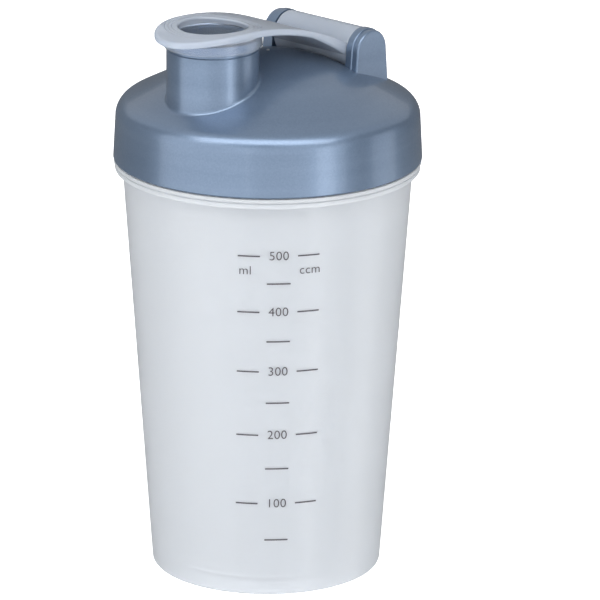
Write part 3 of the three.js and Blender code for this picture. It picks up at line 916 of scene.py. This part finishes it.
cap = combined(cap, soften(bar(BARREL_R, -CAP_WIDE, CAP_WIDE), 0.4, 60, 3))
cap = combined(cap, barrel_hollow(), "DIFFERENCE")
for side in (-1, 1):
    ends = sorted((side * (CAP_WIDE - 1), side * (CAP_WIDE + PIN_LENGTH)))
    cap = combined(cap, soften(bar(PIN_R, *ends, PIN_STEPS), 0.3, 60, 3))
finished("clear_flip_cap", cap, cap_plastic, "cap", ["flip_cap"], even=True)

# %% [markdown]
# ## The mixing sieve and the seal ring
#
# The sieve breaks up lumps of powder. It is a round plate with circles of holes, a collar that snaps into
# the lid and a stub to pull it by. All the holes are cut at once, with one mesh of many small posts. The
# seal is a flat ring with rounded edges.

# %% Sieve
COLLAR_WALL = 1.2
COLLAR_R = ring_in - GAP
COLLAR_BORE = COLLAR_R - COLLAR_WALL
COLLAR_TOP = sieve_high.z
FLANGE_R = sieve_high.x
PLATE = 1.4
PLATE_LOW = PLUG_RING_LOW - GAP - PLATE
PLATE_TOP = PLATE_LOW + PLATE
GRIP_R = 3.0
GRIP_LOW = sieve_low.z
HOLE_CIRCLES = 4
HOLE_PITCH = 7.7  # from each circle of holes to the next
HOLE_START = 1.5  # the first circle leaves this much more room for the stub
HOLE_SIZE = 2.7  # radius

sieve = spun(rounded([
    (0, GRIP_LOW, 0),
    (GRIP_R, GRIP_LOW, 0.8),
    (GRIP_R, PLATE_LOW, 0.8),
    (FLANGE_R, PLATE_LOW, 0.4),
    (FLANGE_R, PLATE_TOP, 0.4),
    (COLLAR_R, PLATE_TOP, 0.2),
    (COLLAR_R, COLLAR_TOP, 0.5),
    (COLLAR_BORE, COLLAR_TOP, 0.5),
    (COLLAR_BORE, PLATE_TOP, 0.6),
    (0, PLATE_TOP, 0),
]))
holes = bmesh.new()
for circle in range(1, HOLE_CIRCLES + 1):
    across = circle * HOLE_PITCH + HOLE_START
    for i in range(6 * circle):
        turn = Matrix.Rotation(math.tau * i / (6 * circle), 4, "Z")
        place = turn @ Matrix.Translation((across, 0, PLATE_LOW + PLATE / 2))
        bmesh.ops.create_cone(
            holes, cap_ends=True, segments=24, radius1=HOLE_SIZE, radius2=HOLE_SIZE, depth=4, matrix=place
        )
sieve = combined(sieve, holes, "DIFFERENCE")
finished("sieve", sieve, sieve_plastic, "sieve", ["mixing_sieve"])

# %% Seal ring
SEAL_ROUND = 0.5
seal_corners = [
    (NECK_BORE, seal_low.z), (NECK_R, seal_low.z), (NECK_R, seal_high.z), (NECK_BORE, seal_high.z),
]
seal = spun(rounded([(*corner, SEAL_ROUND) for corner in seal_corners]))
finished("lid_seal", seal, silicone, "rising_seal", ["seal_ring"])

# %% [markdown]
# ## Floor and light
#
# A white table in a bright room: the floor glows a little, so that it stays white under the bottle, and it
# throws no shadow and shows in no reflection. What models a glossy lid is the shape of the lights that it
# mirrors. Two wide ones in front light its skirt and leave its sides dark, and a narrow upright one draws
# the bright streak right of the middle. A weak one on the far right lifts that side, a shallow one overhead
# draws the line along the shoulder, and a large one behind fills the dome.

# %% Floor
FLOOR_SIZE = 8  # metres from the middle to an edge
floor_grid = bmesh.new()
bmesh.ops.create_grid(floor_grid, x_segments=1, y_segments=1, size=FLOOR_SIZE)
floor = loose(floor_grid)
floor.name = "floor"
floor_finish = new_material(
    "floor_finish", Base_Color=(0.9, 0.9, 0.9, 1), Roughness=0.6, Emission_Color=(1, 1, 1, 1),
    Emission_Strength=0.8,
)[0]
floor.data.materials.append(floor_finish)
floor.visible_glossy = False
floor.visible_shadow = False


# %% Lights
def soft_light(name, around, above, distance, width, height, power):
    """A rectangular light that faces the bottle. Its place is given by two angles in degrees, from the
    camera's side and from the level, and a distance in metres."""
    side, rise = TURN + math.radians(around), math.radians(above)
    out = Vector((math.sin(side) * math.cos(rise), -math.cos(side) * math.cos(rise), math.sin(rise)))
    data = bpy.data.lights.new(name, "AREA")
    data.shape = "RECTANGLE"
    data.size, data.size_y = width, height
    data.energy = power
    obj = bpy.data.objects.new(name, data)
    bpy.context.collection.objects.link(obj)
    obj.location = AIM + out * distance
    obj.rotation_euler = out.to_track_quat("Z", "Y").to_euler()
    obj.visible_camera = False
    print(name, power, "W from", tuple(round(v, 2) for v in obj.location))


soft_light("left_light", around=-50, above=4, distance=1.6, width=2.4, height=2.2, power=23)
soft_light("front_light", around=22, above=6, distance=1.9, width=3.0, height=2.2, power=24)
soft_light("strip_light", around=43, above=-14, distance=1.5, width=0.36, height=1.9, power=4)
soft_light("right_light", around=96, above=-12, distance=2.0, width=0.9, height=2.6, power=7)
soft_light("top_light", around=-4, above=62, distance=1.3, width=2.3, height=0.6, power=19)
soft_light("ceiling_light", around=180, above=60, distance=2.0, width=5.0, height=3.6, power=26)

# %% Light from all round
world = bpy.data.worlds.new("room")
bpy.context.scene.world = world
world.use_nodes = True
background = world.node_tree.nodes["Background"]
background.inputs["Color"].default_value = (1, 1, 1, 1)
background.inputs["Strength"].default_value = 0.16
